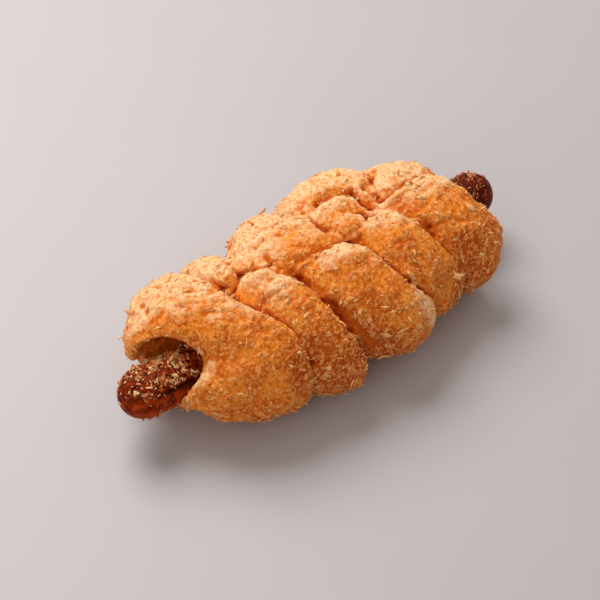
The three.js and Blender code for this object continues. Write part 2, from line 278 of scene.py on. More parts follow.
# The coat is thick where the skin faces the far side and up, and fades low down and at the back.
# Ranges of the direction, and the strength of the patches that make it uneven
PATCH_SIZE = 9
COAT_TO_FAR = 1.3
COAT_TO_TOP = 0.62
COAT_RANGE, COAT_PATCHES = (0.05, 1.0), 0.3
COAT_LOW_RANGE, COAT_LOW_PATCHES = (0, 0.55), 0.15
COAT_BACK_RANGE, COAT_BACK_PATCHES = (0.5, 0.95), 0.25
COAT_BACK_LOSS = 0.6
# Spots where the coat is thicker, or thinner below 0: place, radius and strength
COAT_SPOTS = [
    ([21, -33.5, 30], 3.5, 0.9), ([22.5, -36, 25.5], 4, 1.0), ([23.5, -37.5, 20], 3.5, 0.9),
    ([-23, -11, 42], 6, 0.6), ([3, -14, 42], 6, 0.25), ([-7, 1, 43], 7, -0.45), ([12, 3, 43], 6, -0.55),
    ([-55, 9, 39], 9, -0.3),
]
# Spots of painted shade, darker crust on the shaded flanks of the lobes: place and radius
SHADE_SPOTS = [
    ([-14, -29, 30], 9), ([-10, -35, 20], 8), ([-16, -36, 16], 8), ([6, -29, 30], 7), ([6, -36, 18], 8),
    ([16, -34, 12], 8), ([41, -29, 16], 7), ([56, -27, 14], 9), ([62, -21, 16], 8), ([-46, -34, 12], 9),
    ([-28, -31, 31], 7), ([-27, -35, 24], 8), ([48, -26, 26], 7), ([52, -22, 30], 5),
    ([-4, -33, 26], 6), ([0, -36, 19], 7), ([5, -38, 13], 7), ([49, -25, 18], 6),
]
BROWN_PATCHES = 0.5
# Painted shade near the floor, darker towards the bottom: strength, height where it begins, and height
# over which it grows
SHADE_FOOT = 0.5
SHADE_FOOT_TOP = 14
FOOT_FADE = 12

# Painted shade in creases: how much narrow hollows, valleys and folds count towards it, and the limits of
# the sum
CREASE_SHADE_WEIGHTS = (0.8, 0.45, 0.25)
CREASE_SHADE_LIMITS = (-1, 2)
PIT_SCALE = 6
# Share of the coat that creases lose, and the depths over which they lose it
BARED = 0.7
BARED_HOLLOWS = (0.25, 0.9)


# ---- Noise and small helpers ----

def lattice_hash(cells, seed):
    mixed = cells @ np.array([374761393, 668265263, 1442695041], np.int64) + seed * 974634777
    mixed = ((mixed ^ (mixed >> 13)) * 1274126177) & 0xFFFFFFFF
    return (mixed ^ (mixed >> 15)) & 0xFFFFFFFF


def noise(points, seed):
    """Gradient noise at points (n, 3), about -1 to 1, with one bump a unit."""
    cell = np.floor(points).astype(np.int64)
    inside = points - cell
    ease = inside ** 3 * (inside * (inside * 6 - 15) + 10)
    total = np.zeros(len(points))
    for corner in np.ndindex(2, 2, 2):
        hashed = lattice_hash(cell + np.array(corner), seed)
        gradient = np.stack([(hashed >> shift) & 255 for shift in (0, 8, 16)], 1) / 127.5 - 1
        weight = np.prod(np.where(corner, ease, 1 - ease), 1)
        total += weight * np.sum(gradient * (inside - corner), 1)
    return total * 1.6


def layered_noise(points, size, seed, layers):
    """Noise in layers, each half the size and half the strength of the one before."""
    total = np.zeros(len(points))
    for share in 0.5 ** np.arange(layers):
        total += share * noise(points / (size * share), seed)
        seed += 1
    return total


def ramp(value, low, high):
    """From 0 at low to 1 at high, with an eased start and end."""
    s = np.clip((value - low) / (high - low), 0, 1)
    return s * s * (3 - 2 * s)


def between(pair, share):
    return pair[0] + (pair[1] - pair[0]) * share


def round_angles(count):
    return 2 * np.pi * np.arange(count) / count


def signed_power(value, power):
    return np.sign(value) * np.abs(value) ** power


def end_fullness(distance, rounding):
    """Width of a rounded end, from 0 to 1, at a distance from its tip."""
    s = np.minimum(1, distance / rounding)
    return np.sqrt(np.maximum(0, 1 - (1 - s) ** 2))


# ---- The loaf, the strands and the sausage ----

def loaf_size(x, column):
    places, sizes = LOAF[:, 0], LOAF[:, column]
    i = np.clip(np.searchsorted(places, x, side="right"), 1, len(places) - 1)
    s = np.clip((x - places[i - 1]) / (places[i] - places[i - 1]), 0, 1)
    return between((sizes[i - 1], sizes[i]), (s + s * s * (3 - 2 * s)) / 2)


def on_loaf(x, angle, out, drop_share=LOAF_DROP_SHARE):
    """The point at an angle from the top of the loaf and this far out of its surface."""
    width = np.where(angle > 0, loaf_size(x, NEAR), loaf_size(x, FAR))
    height = loaf_size(x, RISE) * np.where(np.cos(angle) > 0, 1, drop_share)
    y = -(width + out) * np.sin(angle)
    z = LOAF_AXIS_HEIGHT + (height + out) * np.cos(angle)
    return np.stack(np.broadcast_arrays(x, y, z), -1)


def tucked(stations):
    """The stations, with those of the part under the loaf."""
    end = stations[-1]
    if abs(end[0]) < TUCKED_FROM:
        return np.array(stations, float)
    under = [
        [math.copysign(angle, end[0]), end[1] + TUCKED_NARROWING * i, end[2] - TUCKED_NARROWING * i, 0]
        for i, angle in enumerate(TUCKED_ANGLES, 1)
    ]
    return np.array(stations + under, float)


def station_values(stations, t):
    """All columns of the stations at t, from 0 to 1, as a smooth curve through them."""
    last = len(stations) - 1
    i = np.minimum(last - 1, np.floor(t * last).astype(int))
    s = (t * last - i)[:, None]
    before, a, b, after = (stations[np.clip(i + k, 0, last)] for k in (-1, 0, 1, 2))
    slope_in, slope_out = (b - before) / 2, (after - a) / 2
    cubic = 2 * a - 2 * b + slope_in + slope_out
    square = 3 * b - 3 * a - 2 * slope_in - slope_out
    return ((cubic * s + square) * s + slope_in) * s + a


def eased_steps(along):
    return 0.5 - 0.5 * np.cos(np.pi * np.arange(1, along) / along)


def ring_mesh(rings, first, last):
    """Vertices and faces of a closed mesh from rings (n, round, 3), with a point at each end."""
    count, around = rings.shape[:2]
    points = np.concatenate([[first], rings.reshape(-1, 3), [last]])
    i, j = np.meshgrid(np.arange(count - 1), np.arange(around), indexing="ij")
    here = 1 + i * around + j
    beside = 1 + i * around + (j + 1) % around
    quads = np.stack([here, beside, beside + around, here + around], -1).reshape(-1, 4)
    j = np.arange(around)
    after = (j + 1) % around
    start = np.stack([np.zeros_like(j), 1 + after, 1 + j], 1)
    top = 1 + (count - 1) * around
    end = np.stack([np.full_like(j, len(points) - 1), top + j, top + after], 1)
    faces = quads.tolist() + start.tolist() + end.tolist()
    return points, outward(points, faces)


def outward(points, faces):
    """The faces, turned over if they face inwards."""
    corners = np.array([face[:3] for face in faces])
    a, b, c = (points[corners[:, k]] for k in range(3))
    inside = np.sum(a * np.cross(b, c)) < 0
    return [face[::-1] for face in faces] if inside else faces


def strand_mesh(stations, tilt, tip_share):
    steps = eased_steps(STRAND_STEPS[0])
    value = station_values(stations, steps)
    angle, left, right, height = (value[:, k:k + 1] for k in range(4))
    full = end_fullness(np.minimum(steps, 1 - steps), tip_share)[:, None]
    around = round_angles(STRAND_STEPS[1])[None]
    half_width = ((right - left) / 2 - STRAND_GAP) * (STRAND_TIP_WIDTH + (1 - STRAND_TIP_WIDTH) * full)
    across = half_width * signed_power(np.cos(around), STRAND_SQUARENESS)
    thick = STRAND_HALF_THICKNESS * full * signed_power(np.sin(around), STRAND_SQUARENESS)
    out = height + tilt * across + thick
    rings = on_loaf((left + right) / 2 + across, np.radians(angle) + 0 * across, out)
    first, last = (
        on_loaf((s[1] + s[2]) / 2, np.radians(s[0]), s[3]) for s in (stations[0], stations[-1])
    )
    return ring_mesh(rings, first, last)


def core_mesh(ends, depths, rounding):
    """The loaf between two ends, its surface sunk by the depths at the top and at the sides."""
    steps = eased_steps(CORE_STEPS[0])[:, None]
    full = end_fullness((ends[1] - ends[0]) * np.minimum(steps, 1 - steps), rounding)
    angle = round_angles(CORE_STEPS[1])[None] - np.pi
    x = between(ends, steps) + 0 * angle
    down = ramp(np.abs(np.degrees(angle)), *CORE_DEPTH_ANGLES)
    points = on_loaf(x, angle + 0 * x, -between(depths, down) + 0 * x, CORE_DROP_SHARE)
    below = points[..., 2] < LOAF_AXIS_HEIGHT
    narrowing = np.where(below, np.abs(np.sin(angle + 0 * x)) ** CORE_UNDERSIDE_TAPER, 1)
    points[..., 1] *= full * narrowing
    points[..., 2] = LOAF_AXIS_HEIGHT + (points[..., 2] - LOAF_AXIS_HEIGHT) * full
    first, last = ([end, 0, LOAF_AXIS_HEIGHT] for end in ends)
    return ring_mesh(points, first, last)


def sausage_axis(x):
    bend = (x / SAUSAGE_X[1]) ** 2
    y = SAUSAGE_MIDDLE_Y + SAUSAGE_YAW * x + SAUSAGE_SIDE_BEND * bend
    z = SAUSAGE_MIDDLE_Z + SAUSAGE_PITCH * x + SAUSAGE_LIFT_BEND * bend
    return np.stack([x, y, z], -1)


def sausage_mesh(steps, grow=0.0, shape=None):
    """The sausage, or the space for it. shape(x, angle from its underside) scales its radius."""
    start, end = SAUSAGE_X[0] - grow, SAUSAGE_X[1] + grow
    t = eased_steps(steps[0])
    x = between((start, end), t)
    full = end_fullness(np.minimum(x - start, end - x), SAUSAGE_END_ROUNDING)
    radius = (between(SAUSAGE_RADIUS, t) + grow) * full
    centre = sausage_axis(x)
    ahead = sausage_axis(x + 1) - centre
    ahead /= np.linalg.norm(ahead, axis=1)[:, None]
    side = np.cross([0, 1, 0], ahead)
    side /= np.linalg.norm(side, axis=1)[:, None]
    up = np.cross(ahead, side)
    angle = round_angles(steps[1])
    out = side[:, None] * np.cos(angle)[:, None] + up[:, None] * np.sin(angle)[:, None]
    scale = 1 if shape is None else shape(x[:, None], angle[None])
    rings = centre[:, None] + out * (radius[:, None] * scale)[..., None]
    return ring_mesh(rings, sausage_axis(start), sausage_axis(end))


def mouth_at(x):
    """Centre and radius of the mouth at each x."""
    wide = ramp(MOUTH_X[1] - x, 0, MOUTH_WIDENING)[:, None]
    centre = sausage_axis(x) + wide * np.array([0, *MOUTH_SHIFT])
    return centre, between(MOUTH_RADIUS, wide)


def mouth_mesh():
    x = between(MOUTH_X[::-1], eased_steps(MOUTH_STEPS[0]))
    centre, radius = mouth_at(x)
    radius = radius * end_fullness(MOUTH_X[1] - x, MOUTH_END_ROUNDING)[:, None]
    angle = round_angles(MOUTH_STEPS[1])
    out = np.stack([0 * angle, np.cos(angle), np.sin(angle)], 1)
    rings = centre[:, None] + out[None] * radius[..., None]
    return ring_mesh(rings, sausage_axis(MOUTH_X[1]), centre[-1])


# ---- Meshes in Blender ----

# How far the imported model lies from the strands' frame
sausage_box = np.array(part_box("sausage")) / MM
plain_sausage = sausage_mesh(SAUSAGE_STEPS)[0]
SHIFT = (sausage_box.mean(0) - (plain_sausage.min(0) + plain_sausage.max(0)) / 2) * [1, 1, 0]


def build_mesh(name, points, faces):
    mesh = bpy.data.meshes.new(name)
    mesh.from_pydata(((points + SHIFT) * MM).tolist(), [], faces)
    mesh.update()
    return mesh


def read(items, field, width, kind=np.int32):
    values = np.empty(len(items) * width, kind)
    items.foreach_get(field, values)
    return values.reshape(-1, width)


def mesh_points(mesh, field="co"):
    """The places of the mesh's vertices in mm, or their normals."""
    values = read(mesh.vertices, field, 3, np.float32).astype(float)
    return values / MM - SHIFT if field == "co" else values


def set_points(mesh, points):
    """Moves the mesh's vertices to these places in mm. Gives their new normals."""
    mesh.vertices.foreach_set("co", ((points + SHIFT) * MM).astype(np.float32).ravel())
    mesh.update()
    return mesh_points(mesh, "normal")


def set_attributes(mesh, **attributes):
    for name, values in attributes.items():
        attribute = mesh.attributes.new(name, "FLOAT", "POINT")
        attribute.data.foreach_set("value", values.astype(np.float32))


def joined(parts):
    points, faces, count = [], [], 0
    for part_points, part_faces in parts:
        points.append(part_points)
        faces += [[k + count for k in face] for face in part_faces]
        count += len(part_points)
    return np.concatenate(points), faces


def link(name, data):
    thing = bpy.data.objects.new(name, data)
    bpy.context.scene.collection.objects.link(thing)
    return thing


def applied(thing):
    """The object's mesh with its modifiers applied. The object itself goes."""
    bpy.context.view_layer.update()
    depsgraph = bpy.context.evaluated_depsgraph_get()
    mesh = bpy.data.meshes.new_from_object(thing.evaluated_get(depsgraph))
    bpy.data.objects.remove(thing)
    return mesh


def relaxed(points, edges, rounds):
    """The points, or other values of the vertices, each moved halfway to its neighbours' mean."""
    count = np.bincount(edges.ravel(), minlength=len(points))[:, None]
    for _ in range(rounds):
        total = np.stack([
            np.bincount(edges[:, 0], points[edges[:, 1], k], len(points))
            + np.bincount(edges[:, 1], points[edges[:, 0], k], len(points))
            for k in range(points.shape[1])
        ], 1)
        points = points + (total / count - points) / 2
    return points


# ---- Dough ----

def remeshed(mesh):
    """One closed skin of small even squares round everything in the mesh."""
    thing = link("rough", mesh)
    merge = thing.modifiers.new("merge", "REMESH")
    merge.mode = "VOXEL"
    merge.voxel_size = DOUGH_VOXEL * MM
    return applied(thing)


def cut_out(mesh, shape):
    """The mesh without what lies inside the shape."""
    thing = link("whole", mesh)
    cutter = link("cutter", build_mesh("cutter", *shape))
    cut = thing.modifiers.new("cut", "BOOLEAN")
    cut.operation = "DIFFERENCE"
    cut.object = cutter
    cut.solver = "MANIFOLD"
    mesh = applied(thing)
    bpy.data.objects.remove(cutter)
    return mesh


def plait_mesh():
    """All strands and the core, merged into one closed skin."""
    parts = {
        "core": core_mesh(CORE_X, CORE_DEPTH, CORE_END_ROUNDING),
        "collar": core_mesh(COLLAR_X, COLLAR_DEPTH, COLLAR_END_ROUNDING),
    }
    for name, stations in STRANDS.items():
        side = name.split("_")[0]
        parts[name] = strand_mesh(tucked(stations), STRAND_TILTS[side], STRAND_TIP_SHARES[side])
    for name in MOUTH_CUTS:
        opened = cut_out(build_mesh(name, *parts[name]), mouth_mesh())
        parts[name] = mesh_points(opened), [list(face.vertices) for face in opened.polygons]
    return remeshed(build_mesh("plait", *joined(parts.values())))


def hollow_of(points, edges, normals, rounds):
    """How deep each point lies in a hollow, in mm; negative on a ridge."""
    return np.sum((relaxed(points, edges, rounds) - points) * normals, 1)


def dough_mesh():
    """The plait with deeper creases, its folds and relief, and the space for the sausage."""
    mesh = plait_mesh()
    edges = read(mesh.edges, "vertices", 2)
    points = relaxed(mesh_points(mesh), edges, SKIN_ROUNDS[0])
    normals = set_points(mesh, points)
    hollow = hollow_of(points, edges, normals, CREASE_ROUNDS)
    points -= normals * (CREASE_CUT * ramp(hollow, *CREASE_CUT_HOLLOWS))[:, None]
    points = relaxed(points, edges, SKIN_ROUNDS[1])
    points += set_points(mesh, points) * fold_relief(points)[:, None]
    normals = set_points(mesh, points)
    points += normals * dough_relief(points, edges, normals)[:, None]
    points[:, 2] = np.maximum(points[:, 2], 0)
    set_points(mesh, points)
    return cut_out(mesh, sausage_mesh(BORE_STEPS, BORE_GAP))


def ridges(points, size, seed):
    """Wrinkles from 0 to 1: narrow ridges with wide pits between them."""
    return 1 - np.minimum(1, RIDGE_STEEPNESS * np.abs(noise(points / size, seed)))


def blobs(points, size, seed):
    """Domes of uneven height from 0 to 1, one in each cell of a grid at a random place."""
    cell = np.floor(points / size).astype(np.int64)
    height = np.zeros(len(points))
    for offset in np.ndindex(3, 3, 3):
        near = cell + np.array(offset) - 1
        hashed = lattice_hash(near, seed)
        jitter = np.stack([(hashed >> shift) & 255 for shift in (0, 8, 16)], 1) / 255
        away = np.linalg.norm(points / size - near - jitter, axis=1) / DOME_WIDTH
        strength = DOME_LEAST + (1 - DOME_LEAST) * ((hashed >> 24) & 255) / 255
        height = np.maximum(height, strength * np.sqrt(np.maximum(0, 1 - away ** 2)))
    return height


def fold_relief(points, wider=0.0):
    """Height of the single folds at each point."""
    height = np.zeros(len(points))
    waver = np.stack([noise(points / FOLD_WAVER_SIZE, SEED + 70 + k) for k in range(3)], 1)
    for depth, width, line in FOLDS:
        line = np.reshape(line, (-1, 3)) / 2
        reach = FOLD_REACH * width
        near = np.all((points > line.min(0) - reach) & (points < line.max(0) + reach), 1)
        some = points[near] + FOLD_WAVER * waver[near]
        away = np.full(len(some), np.inf)
        for start, end in zip(line[:-1], line[1:]):
            along = end - start
            share = np.clip((some - start) @ along / (along @ along), 0, 1)
            away = np.minimum(away, np.linalg.norm(some - start - share[:, None] * along, axis=1))
        height[near] += depth * np.exp(-(away / (width + wider)) ** 2)
    return height


def dough_relief(points, edges, normals):
    """How far the skin stands out at each point."""
    coat = coat_share(points, edges, normals)
    swirl = np.stack([noise(points / SWIRL_SIZE, SEED + 60 + k) for k in range(3)], 1)
    bent = points + SWIRL * swirl
    lumps = LUMPS * layered_noise(points, LUMP_SIZE, SEED, 3)
    wrinkles = BROAD_WRINKLES * ridges(bent, BROAD_WRINKLE_SIZE, SEED + 10)
    wrinkles += FINE_WRINKLES * ridges(bent, FINE_WRINKLE_SIZE, SEED + 11)
    crumbly = DOMES * blobs(bent, DOME_SIZE, SEED + 20)
    crumbly += BUMPS * layered_noise(points, BUMP_SIZE, SEED + 21, 2)
    dents = -DENTS * ramp(noise(points / DENT_SIZE, SEED + 12), *DENT_RANGE)
    hollow = hollow_of(points, edges, normals, SHELTER_ROUNDS)
    open_skin = 1 - SHELTERED_LOSS * ramp(hollow, *SHELTERED_HOLLOWS)
    fine = (BARE_RELIEF + COAT_RELIEF * coat) * (wrinkles + crumbly)
    return lumps + (fine + dents) * open_skin


def coat_share(points, edges, normals):
    """How thick the crumb coat is at each point, from 0 to 1."""
    to_far, to_top = relaxed(normals, edges, COAT_ROUNDS)[:, 1:].T
    facing = to_far * COAT_TO_FAR + to_top * COAT_TO_TOP
    patches = layered_noise(points, PATCH_SIZE, SEED + 30, 2)
    share = ramp(facing + COAT_PATCHES * patches, *COAT_RANGE)
    share *= ramp(to_top + COAT_LOW_PATCHES * patches, *COAT_LOW_RANGE)
    share *= 1 - COAT_BACK_LOSS * ramp(to_far + COAT_BACK_PATCHES * patches, *COAT_BACK_RANGE)
    for place, radius, strength in COAT_SPOTS:
        share += strength * np.exp(-np.sum((points - place) ** 2, 1) / radius ** 2)
    return np.clip(share, 0, 1)


def foot_share(points, top):
    return ramp(top - points[:, 2], 0, FOOT_FADE)


def brown_share(points):
    """How far the crust of each point is darkened, from 0 to 1: browned in random patches, with painted
    shade in spots and near the floor.
    """
    share = np.zeros(len(points))
    for place, radius in SHADE_SPOTS:
        share += np.exp(-np.sum((points - place) ** 2, 1) / radius ** 2)
    patches = layered_noise(points, PATCH_SIZE, SEED + 60, 3)
    foot = foot_share(points, SHADE_FOOT_TOP)
    return np.clip(share + BROWN_PATCHES * patches + SHADE_FOOT * foot, 0, 1)


def mouth_shade_share(points):
    """How much painted shade the mouth's wall takes at each point: 0 outside, more towards its inner end.
    """
    x = points[:, 0]
    centre, radius = mouth_at(x)
    reach = np.hypot(*(points - centre)[:, 1:].T)
    inside = ramp(radius[:, 0] + MOUTH_SHADE_EDGE - reach, 0, MOUTH_SHADE_FADE)
    inside *= x < MOUTH_X[1] + MOUTH_SHADE_PAST_END
    return inside * MOUTH_SHADE * ramp(x, *MOUTH_SHADE_X)


def add_dough():
    mesh = dough_mesh()
    edges = read(mesh.edges, "vertices", 2)
    points, normals = mesh_points(mesh), mesh_points(mesh, "normal")
    narrow = hollow_of(points, edges, normals, CREASE_ROUNDS)
    valley = hollow_of(points, edges, normals, VALLEY_ROUNDS)
    # The mouth's painted shade; it also keeps coat and crumbs off the mouth's wall
    mouth = mouth_shade_share(points)
    # Painted shade in creases: darker in narrow hollows, wide valleys and sunken folds, and in the mouth
    folded = np.maximum(0, -fold_relief(points, FOLD_SHADE_WIDENING))
    crease = sum(a * b for a, b in zip(CREASE_SHADE_WEIGHTS, (narrow, valley, folded)))
    crease = np.maximum(np.clip(crease, *CREASE_SHADE_LIMITS), mouth)
    bared = np.maximum(BARED * ramp(narrow, *BARED_HOLLOWS), np.minimum(1, mouth * 2))
    coat = coat_share(points, edges, normals) * (1 - bared)
    pit = hollow_of(points, edges, normals, PIT_ROUNDS) * PIT_SCALE
    set_attributes(mesh, pit=pit, crease=crease, coat=coat, brown=brown_share(points) * (1 - coat))
    finish_piece("dough_skin", mesh, dough_material(), "dough")
    reach = points - sausage_axis(points[:, 0])
    outside = np.hypot(reach[:, 1], reach[:, 2]) > CRUMB_FREE_RADIUS
    outside &= (points[:, 2] > CRUMB_FREE_HEIGHT) & (mouth < CRUMB_FREE_MOUTH)
    ridge = ramp(-narrow, *CRUMB_RIDGE_RANGE)
    clumps = ramp(layered_noise(points, CLUMP_SIZE, SEED + 40, 2), *CLUMP_RANGE)
    broad = relaxed(normals, edges, CRUMB_ROUNDS)
    broad /= np.linalg.norm(broad, axis=1)[:, None]
    foot = foot_share(points, CRUMB_FOOT_TOP)
    spread = outside * (COARSE_BASE + clumps + COARSE_RIDGE * ridge + COARSE_FOOT * foot)
    spread = spread * (1 - COARSE_COAT_LOSS * coat) * (1 - bared)
    for name, kind in COARSE_CRUMBS.items():
        add_crumbs(name, mesh, broad, spread, kind, DOUGH_CRUMB_COLOURS)
    fine = outside * (FINE_BASE + coat + FINE_RIDGE * ridge) * (1 - FINE_BARED_LOSS * bared)
    add_crumbs("crumb_grains", mesh, broad, fine, GRAINS, GRAIN_COLOURS)


def finish_piece(name, mesh, material, replaced=None, smooth=True):
    """Makes the mesh a piece of the part, which takes the place of the replaced node."""
    mesh.polygons.foreach_set("use_smooth", np.full(len(mesh.polygons), smooth))
    mesh.materials.clear()
    mesh.materials.append(material)
    piece = link(name, mesh)
    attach(piece, "root")
    if replaced:
        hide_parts(replaced)


# ---- Crumbs ----

# No crumb lies this near the sausage's axis, this low or in the mouth, or reaches out of the heights
CRUMB_FREE_RADIUS = 9.6
CRUMB_FREE_HEIGHT = 0.8
CRUMB_FREE_MOUTH = 0.2
CRUMB_HEIGHTS = (0, 44.6)
# Crumbs gather on ridges, at the foot and in clumps
CRUMB_RIDGE_RANGE = (0, 0.5)
CRUMB_FOOT_TOP = 20
CLUMP_SIZE = 7
CLUMP_RANGE = (-0.3, 0.9)
# Density of the coarse crumbs, and of the fine ones, which follow the coat
COARSE_BASE, COARSE_RIDGE, COARSE_FOOT, COARSE_COAT_LOSS = 0.12, 1.2, 0.5, 0.6
FINE_BASE, FINE_RIDGE, FINE_BARED_LOSS = 0.15, 0.3, 0.6
# Shape of a crumb: turn and reach of its corners, bend, bumps, and thickness of its middle
CORNER_TURN = 0.3
CORNER_REACH = (0.45, 1.3)
CRUMB_BEND = 0.35
CRUMB_BUMPS = 0.25
CRUMB_TIP = 0.6
# A crumb that stands up is raised by this share of its length. It stands no steeper than the limit
STANDING_RAISED = 0.25
LIFT_LIMIT = 80
TONE_SPREAD = 0.25
RIM_DARKER = 0.15

# Kinds of crumb. size: mean length in mm and its spread; width and thickness: shares of the length,
# least and most; lift: how far they stand up, in degrees; raised: height of the middle above the
# skin, a share of the thickness; profile: rings [radius, height]; tones: darkest and palest.
FLAKES = dict(
    count=1600, sides=9, size=(2.1, 0.35), width=(0.22, 0.6), thickness=(0.06, 0.12), lift=18,
    raised=0.2, profile=[(0.6, 0.45), (1, -0.1)], tones=(0.3, 1.4),
)
SPLINTERS = dict(
    count=4200, sides=6, size=(1.35, 0.4), width=(0.14, 0.4), thickness=(0.07, 0.15), lift=24,
    raised=0.1, profile=[(0.7, 0.4), (1, -0.2)], tones=(0, 1.1),
)
THREADS = dict(
    count=130, sides=8, size=(2.8, 0.35), width=(0.08, 0.14), thickness=(0.05, 0.08), lift=10,
    raised=0.1, profile=[(0.8, 0.5), (1, 0)], tones=(0.4, 1.0),
)
COARSE_CRUMBS = {"crumb_flakes": FLAKES, "crumb_splinters": SPLINTERS, "crumb_threads": THREADS}
GRAINS = dict(
    count=13000, sides=5, size=(0.7, 0.4), width=(0.4, 0.9), thickness=(0.35, 0.6), lift=6,
    raised=-0.25, profile=[(1, -0.3)], tones=(0, 1.0),
)
DOUGH_CRUMB_COLOURS = ((230, 126, 50), (255, 190, 122))
GRAIN_COLOURS = ((238, 140, 60), (255, 202, 140))


def surface_samples(mesh, normals, density, count, rng):
    """Random points on the mesh and their normals, closer together where density is high."""
    mesh.calc_loop_triangles()
    corners = read(mesh.loop_triangles, "vertices", 3)
    a, b, c = (mesh_points(mesh)[corners[:, k]] for k in range(3))
    area = np.linalg.norm(np.cross(b - a, c - a), axis=1)
    weight = area * density[corners].mean(1)
    chosen = rng.choice(len(corners), count, p=weight / weight.sum())
    u, v = rng.random((2, count, 1))
    u, v = np.where(u + v > 1, 1 - u, u), np.where(u + v > 1, 1 - v, v)
    places = a[chosen] + (b - a)[chosen] * u + (c - a)[chosen] * v
    found = normals[corners[chosen]].mean(1)
    return places, found / np.linalg.norm(found, axis=1)[:, None]


def crumb_mesh(places, normals, kind, rng):
    """One closed, bent and uneven crumb at each place, and each vertex's tone."""
    count, sides = len(places), kind["sides"]
    length = kind["size"][0] * np.exp(kind["size"][1] * rng.normal(size=(count, 1)))
    width = length * rng.uniform(*kind["width"], (count, 1))
    thickness = length * rng.uniform(*kind["thickness"], (count, 1))
    along = rng.normal(size=(count, 3))
    along -= normals * np.sum(along * normals, 1)[:, None]
    along /= np.linalg.norm(along, axis=1)[:, None]
    across = np.cross(normals, along)
    lift = np.radians(np.abs(rng.normal(0, kind["lift"], (count, 1))).clip(0, LIFT_LIMIT))
    up = normals * np.cos(lift) - along * np.sin(lift)
    along = along * np.cos(lift) + normals * np.sin(lift)
    raised = thickness * kind["raised"] + STANDING_RAISED * length * np.sin(lift)
    centre = places + normals * raised

    corners = np.arange(sides) + rng.uniform(-CORNER_TURN, CORNER_TURN, (count, sides))
    angle = 2 * np.pi * corners / sides
    reach = 0.5 * rng.uniform(*CORNER_REACH, (count, sides))
    bend = rng.normal(0, CRUMB_BEND, (count, 1))
    rings = []
    for share, height in kind["profile"]:
        x = reach * share * np.cos(angle) * length
        y = reach * share * np.sin(angle) * width
        jitter = rng.uniform(-CRUMB_BUMPS, CRUMB_BUMPS, (count, sides)) * thickness
        z = height * thickness + bend * x * x / length + jitter
        rings.append(
            centre[:, None] + along[:, None] * x[..., None]
            + across[:, None] * y[..., None] + up[:, None] * z[..., None]
        )
    top, bottom = (centre + up * thickness * side for side in (CRUMB_TIP, -CRUMB_TIP))
    points = np.concatenate([top[:, None], *rings, bottom[:, None]], 1)

    last = 1 + sides * len(rings)
    faces = []
    for k in range(sides):
        after = (k + 1) % sides
        faces.append([0, 1 + k, 1 + after])
        faces.append([last, last - sides + after, last - sides + k])
        for ring in range(len(rings) - 1):
            here = 1 + ring * sides
            faces.append([here + k, here + sides + k, here + sides + after])
            faces.append([here + k, here + sides + after, here + after])
    low, high = points[..., 2].min(1), points[..., 2].max(1)
    points = points[(low > CRUMB_HEIGHTS[0]) & (high < CRUMB_HEIGHTS[1])]
    count, each = points.shape[:2]
    all_faces = (np.array(faces)[None] + each * np.arange(count)[:, None, None]).reshape(-1, 3)
    uneven = (-TONE_SPREAD, TONE_SPREAD)
    tones = rng.uniform(*kind["tones"], (count, 1)) + rng.uniform(*uneven, (count, each))
    tones[:, last - sides:] -= RIM_DARKER
    return points.reshape(-1, 3), all_faces.tolist(), tones.ravel()


def add_crumbs(name, mesh, normals, density, kind, colours, smooth=True):
    rng = np.random.default_rng([SEED, *name.encode()])
    places, found = surface_samples(mesh, normals, density, kind["count"], rng)
    points, faces, tones = crumb_mesh(places, found, kind, rng)
    crumbs = build_mesh(name, points, faces)
    set_attributes(crumbs, tone=tones)
    finish_piece(name, crumbs, crumb_material(name, colours), smooth=smooth)


# ---- Sausage ----

# The score along the sausage. Angles are from its underside towards the far side, in degrees, and
# depths and heights are shares of the radius
SCORE_ANGLE = 242
SCORE_WIDTH = 7
SCORE_DEPTH = 0.16
SCORE_LIP = 0.035
SCORE_LIP_PLACE = 2.4
# Distances from the middle between which the score runs out
SCORE_END = (68, 80)
RING_WRINKLES = 0.008
LONG_WRINKLES = 0.012
# Angles over which the crumbed top of the sausage begins and ends
CRUMBED_START = (85, 105)
CRUMBED_END = (228, 240)
# The skin takes painted shade where it faces down this much, and is darker, though less so, from this x
# on
SAUSAGE_SHADED_UNDER = (0.25, 0.95)
SAUSAGE_DARK_FROM = (52, 70)
SAUSAGE_DARK_END = 0.6

# Crumbs lie only this far from the middle, in clumps
SAUSAGE_SHOWN_FROM = 50
SAUSAGE_CLUMP_SIZE = 4
SAUSAGE_CLUMP_RANGE = (-0.1, 0.6)
# Their density: between clumps, all round and underneath. Then what the mouth and the tips take away
BETWEEN_CLUMPS, ALL_ROUND, UNDERNEATH = 0.08, 0.02, 0.25
IN_MOUTH, IN_MOUTH_LOSS = (-64, -56), 0.75
AT_TIP, AT_TIP_LOSS = (77, 81), 0.85
SAUSAGE_CRUMBS = dict(
    count=1200, sides=6, size=(1.1, 0.5), width=(0.2, 0.6), thickness=(0.12, 0.3), lift=28,
    raised=0.1, profile=[(0.7, 0.5), (1, -0.2)], tones=(-0.45, 1.2),
)
FAR_SAUSAGE_CRUMBS = {**SAUSAGE_CRUMBS, "count": 800, "size": (0.8, 0.45), "tones": (-0.4, 0.8)}
SAUSAGE_CRUMB_COLOURS = ((190, 90, 34), (255, 208, 146))


def score_depth(x):
    """How deep the score is along the sausage, from 0 to 1: it runs out towards both ends."""
    return 1 - ramp(np.abs(x), *SCORE_END)


